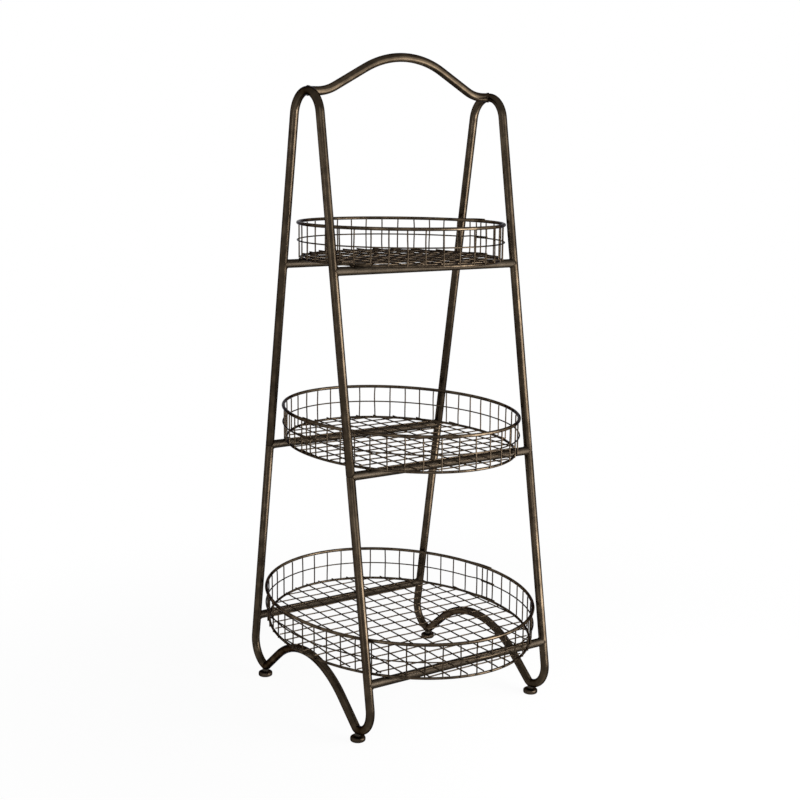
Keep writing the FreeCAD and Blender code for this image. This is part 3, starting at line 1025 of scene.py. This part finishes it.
class ETAGERE_OT_basket_rings(Operator):
    """Bends the rim and the base ring of each basket"""
    bl_idname = "etagere.basket_rings"
    bl_label = "Basket rings"

    def execute(self, context):
        basket = context.scene.etagere_basket
        # The rims take the lighter rim finish, which holds a painted highlight
        rings = (("rim", "rim", basket.rim_wire, "Bronzed rim"),
                 ("base_ring", "base", basket.base_wire, "Bronzed wire"))
        for name, layout in baskets():
            for piece, edge, wire, finish in rings:
                points = layout.wall.ring(*layout.edges[edge])
                ring = bent("%s_%s_wire" % (name, piece), points, wire, RING_SIDES, finish,
                            closed=True)
                fitted(ring, WIRE_SLOT, "basket_%s_%s" % (name, piece))
        return {"FINISHED"}


class ETAGERE_OT_basket_walls(Operator):
    """Wraps the welded mesh round each basket, lapped where its ends meet"""
    bl_idname = "etagere.basket_walls"
    bl_label = "Basket walls"

    def execute(self, context):
        basket = context.scene.etagere_basket
        wire = basket.mesh_wire
        for name, layout in baskets():
            posts = [layout.wall.at(place) for place in layout.places]
            uprights = grown("Basket wall wires", name + "_wall_wires", posts, {
                "Foot": layout.base, "Head": layout.rim - basket.rim_wire / 2, "Wire": wire,
                "Wander": basket.wall_wander[layout.tier], "Seed": WALL_SEED + layout.tier,
                "Finish": bronze("Bronzed wire")})
            fitted(uprights, WIRE_SLOT, "basket_%s_uprights" % name)
            points = lapped_strand(layout, layout.base + basket.pitch, wire, basket.lap_tail)
            strand = bent(name + "_strand", points, wire, MESH_SIDES, "Bronzed wire")
            fitted(strand, WIRE_SLOT, "basket_%s_strand" % name)
            for edge in LAPPED_EDGES:
                lap = bent("%s_%s_lap" % (name, edge), lapped_end(layout, edge), wire, MESH_SIDES,
                           "Bronzed wire")
                fitted(lap, WIRE_SLOT)
        return {"FINISHED"}


class ETAGERE_OT_basket_floors(Operator):
    """Lays the two layers of floor wires in each basket"""
    bl_idname = "etagere.basket_floors"
    bl_label = "Basket floors"

    def execute(self, context):
        basket = context.scene.etagere_basket
        wire = basket.mesh_wire
        on_ring = wire / 2 + basket.base_wire / 2
        in_ring = wire / 2 + basket.base_wire + FLOOR_CLEARANCE
        layers = (("long", False, 0.0, -wire / 2, in_ring),
                  ("cross", True, basket.floor_shift, wire / 2, on_ring))
        for name, layout in baskets():
            for layer, turned_over, shift, rise, inset in layers:
                half_run = layout.wall.width - inset
                half_across = layout.wall.depth - inset
                if turned_over:
                    half_run, half_across = half_across, half_run
                span = half_across - wire / 2
                low = math.ceil((-span - shift) / basket.pitch)
                high = math.floor((span - shift) / basket.pitch)
                values = {
                    "Half Run": half_run, "Half Across": half_across,
                    "Height": layout.base + basket.base_wire / 2 + rise, "Count": high - low + 1,
                    "First Offset": shift + low * basket.pitch, "Pitch": basket.pitch,
                    "Turn": -QUARTER if turned_over else 0.0, "Wire": wire,
                    "Wander": basket.floor_wander, "Finish": bronze("Bronzed wire")}
                wires = grown("Basket floor wires", "%s_floor_%s_wires" % (name, layer),
                              [Vector()], values)
                fitted(wires, WIRE_SLOT, "basket_%s_floor_%s" % (name, layer))
        return {"FINISHED"}


class ETAGERE_OT_tack_welds(Operator):
    """Drops of weld where each base ring rests on its crossbars"""
    bl_idname = "etagere.tack_welds"
    bl_label = "Tack welds"

    def execute(self, context):
        basket = context.scene.etagere_basket
        line = outline(context.scene.etagere_frame)
        for name, layout in baskets():
            y = leg_distance(line, basket.tier_heights[layout.tier])
            depth = layout.wall.depth - layout.base_inset
            x = (layout.wall.width - layout.base_inset) * math.sqrt(1 - (y / depth) ** 2)
            points = [Vector((side * x, end * y, layout.base - basket.base_wire / 2))
                      for side in SIDES.values() for end in ENDS.values()]
            values = {"Size": TACK_WELD, "Seed": TACK_SEED + layout.tier,
                      "Finish": bronze("Bronzed weld")}
            drops = grown("Tack welds", name + "_tack_welds", points, values)
            fitted(drops, WIRE_SLOT)
        return {"FINISHED"}


class ETAGERE_OT_glides(Operator):
    """Turns the foot pads, threaded studs and sleeves"""
    bl_idname = "etagere.glides"
    bl_label = "Glides"

    def execute(self, context):
        sizes = context.scene.etagere_frame
        glide = context.scene.etagere_glide
        line = outline(sizes)
        pad, high = glide.pad / 2, glide.pad_height
        stud, sleeve = glide.stud / 2, glide.sleeve / 2
        low, top = high + GLIDE_GAP, high + GLIDE_GAP + glide.sleeve_length
        socket = stud + PAD_PLAY
        pad_profile = [(0, 0)]
        pad_profile += [(pad - inset * MM, height * MM) for inset, height in PAD_TREAD_EDGE]
        pad_profile += [(pad - inset * MM, high - drop * MM) for inset, drop in PAD_TOP_EDGE]
        pad_profile += [(stud + PAD_CHAMFER, high), (socket, high - PAD_CHAMFER),
                        (socket, PAD_FLOOR), (0, PAD_FLOOR)]
        bore = stud + THREAD_PLAY
        sleeve_profile = [(bore, low), (sleeve - SLEEVE_EDGE, low), (sleeve, low + SLEEVE_EDGE),
                          (sleeve, top), (bore, top)]
        for side_name, side in SIDES.items():
            for end_name, end in ENDS.items():
                corner = "%s_%s" % (end_name, side_name)
                foot = foot_place(sizes, line, side, end)
                cushion = spun("foot_pad_" + corner, pad_profile, foot, PAD_SIDES,
                               bronze("Bronzed pad"))
                fitted(cushion, PAD_SLOT, "pad_" + corner, body="glide_" + corner)
                screw = threaded_stud("foot_stud_" + corner, foot, stud, glide.thread_pitch,
                                      PAD_FLOOR, top)
                fitted(screw, STEEL_SLOT, "stud_" + corner, body="glide_" + corner)
                collar = spun("foot_sleeve_" + corner, sleeve_profile, foot, SLEEVE_SIDES,
                              dark_plating())
                fitted(collar, STEEL_SLOT, "sleeve_" + corner)
                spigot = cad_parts["spigot_" + corner].data
                spigot.materials.clear()
                spigot.materials.append(dark_plating())
        return {"FINISHED"}


# Stage

def seen_or_mirrored(tree):
    """1 for rays from the camera and for mirrored or transmitted ones, else 0."""
    path = tree.nodes.new("ShaderNodeLightPath").outputs
    return maths(tree, "MAXIMUM", path["Is Camera Ray"], maths(
        tree, "MAXIMUM", path["Is Glossy Ray"], path["Is Transmission Ray"]))


def area_lamp(name, watts, place, target, width, height, tint):
    """A soft lamp that lights the stand and shows in its finish but not to the camera."""
    data = bpy.data.lights.new(name, "AREA")
    data.shape = "RECTANGLE"
    data.size = width
    data.size_y = height
    data.energy = watts
    data.color = tint
    lamp = placed(name, data)
    lamp.location = place
    lamp.rotation_euler = (Vector(target) - Vector(place)).to_track_quat("-Z", "Y").to_euler()
    lamp.visible_camera = False


def stage_world(ambient):
    """A white surround with a slightly darker ceiling."""
    world = bpy.data.worlds.new("Soft studio")
    bpy.context.scene.world = world
    world.use_nodes = True
    tree = world.node_tree
    tree.nodes.clear()
    way = node(tree, "ShaderNodeTexCoord").outputs["Generated"]
    rise = node(tree, "ShaderNodeSeparateXYZ", {0: way}).outputs["Z"]
    wall = eased(tree, rise, *CEILING)
    light = put(tree, "ShaderNodeBackground", {"Color": WHITE, "Strength": ambient})
    white = put(tree, "ShaderNodeBackground", {"Color": WHITE, "Strength": wall})
    mix = put(tree, "ShaderNodeMixShader", {0: seen_or_mirrored(tree), 1: light, 2: white})
    node(tree, "ShaderNodeOutputWorld", {"Surface": mix})


def stage_floor(tone):
    """A pale round floor that keeps a faint shadow near the stand and is white far from it."""
    material = bpy.data.materials.new("Pale floor")
    material.use_nodes = True
    tree = material.node_tree
    tree.nodes.clear()
    place = node(tree, "ShaderNodeTexCoord").outputs["Object"]
    away = node(tree, "ShaderNodeVectorMath", {0: place}, operation="LENGTH").outputs["Value"]
    far = eased(tree, away, *FLOOR_FADE)
    paint = put(tree, "ShaderNodeBsdfDiffuse", {"Color": (*tone, 1)})
    white = put(tree, "ShaderNodeEmission", {"Color": WHITE, "Strength": 1.0})
    shown = maths(tree, "MULTIPLY", far, seen_or_mirrored(tree))
    mix = put(tree, "ShaderNodeMixShader", {0: shown, 1: paint, 2: white})
    node(tree, "ShaderNodeOutputMaterial", {"Surface": mix})
    mesh = bpy.data.meshes.new("studio_floor")
    shell = bmesh.new()
    bmesh.ops.create_circle(shell, cap_ends=True, segments=STAGE_SIDES, radius=FLOOR_RADIUS)
    shell.to_mesh(mesh)
    shell.free()
    mesh.materials.append(material)
    placed("studio_floor", mesh)


def stage_camera():
    """The camera, turned by its yaw, pitch and roll."""
    ahead = Vector((math.sin(CAMERA_YAW) * math.cos(CAMERA_PITCH),
                    math.cos(CAMERA_YAW) * math.cos(CAMERA_PITCH), math.sin(CAMERA_PITCH)))
    level = Vector((math.cos(CAMERA_YAW), -math.sin(CAMERA_YAW), 0))
    above = level.cross(ahead)
    right = level * math.cos(CAMERA_ROLL) + above * math.sin(CAMERA_ROLL)
    up = above * math.cos(CAMERA_ROLL) - level * math.sin(CAMERA_ROLL)
    data = bpy.data.cameras.new("camera")
    data.sensor_width = CAMERA_SENSOR
    data.lens = CAMERA_LENS
    camera = placed("camera", data)
    camera.matrix_world = Matrix.Translation(CAMERA_PLACE) @ Matrix(
        (right, up, -ahead)).transposed().to_4x4()
    bpy.context.scene.camera = camera


class ETAGERE_OT_stage(Operator):
    """Makes the floor, the soft lamps and the camera"""
    bl_idname = "etagere.stage"
    bl_label = "Stage"

    def execute(self, context):
        stage = context.scene.etagere_stage
        stage_world(stage.ambient)
        stage_floor(stage.floor)
        for name, settings in LAMPS.items():
            area_lamp(name + "_lamp", getattr(stage, name), *settings)
        stage_camera()
        context.scene.view_settings.view_transform = "Standard"
        return {"FINISHED"}


PIECE_OPERATORS = (ETAGERE_OT_side_frames, ETAGERE_OT_handle, ETAGERE_OT_crossbars,
                   ETAGERE_OT_weld_beads, ETAGERE_OT_basket_rings, ETAGERE_OT_basket_walls,
                   ETAGERE_OT_basket_floors, ETAGERE_OT_tack_welds, ETAGERE_OT_glides,
                   ETAGERE_OT_stage)
SETTINGS = {"etagere_frame": EtagereFrameSizes, "etagere_basket": EtagereBasketSizes,
            "etagere_glide": EtagereGlideSizes, "etagere_finish": EtagereFinish,
            "etagere_stage": EtagereStage}


class ETAGERE_PT_parts(Panel):
    """Sizes, colours and pieces of the etagere"""
    bl_idname = "ETAGERE_PT_parts"
    bl_label = "Etagere"
    bl_space_type = "VIEW_3D"
    bl_region_type = "UI"
    bl_category = "Etagere"

    def draw(self, context):
        for group in SETTINGS:
            settings = getattr(context.scene, group)
            box = self.layout.box()
            for name in settings.__annotations__:
                box.prop(settings, name)
        for operator in PIECE_OPERATORS:
            self.layout.operator(operator.bl_idname)


CLASSES = (*SETTINGS.values(), *PIECE_OPERATORS, ETAGERE_PT_parts)


def register():
    for item in CLASSES:
        bpy.utils.register_class(item)
    for name, group in SETTINGS.items():
        setattr(bpy.types.Scene, name, PointerProperty(type=group))


def unregister():
    for name in SETTINGS:
        delattr(bpy.types.Scene, name)
    for item in reversed(CLASSES):
        bpy.utils.unregister_class(item)


def main():
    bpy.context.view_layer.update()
    register()
    for operator in PIECE_OPERATORS:
        group, name = operator.bl_idname.split(".")
        getattr(getattr(bpy.ops, group), name)()


if __name__ == "__main__":
    main()
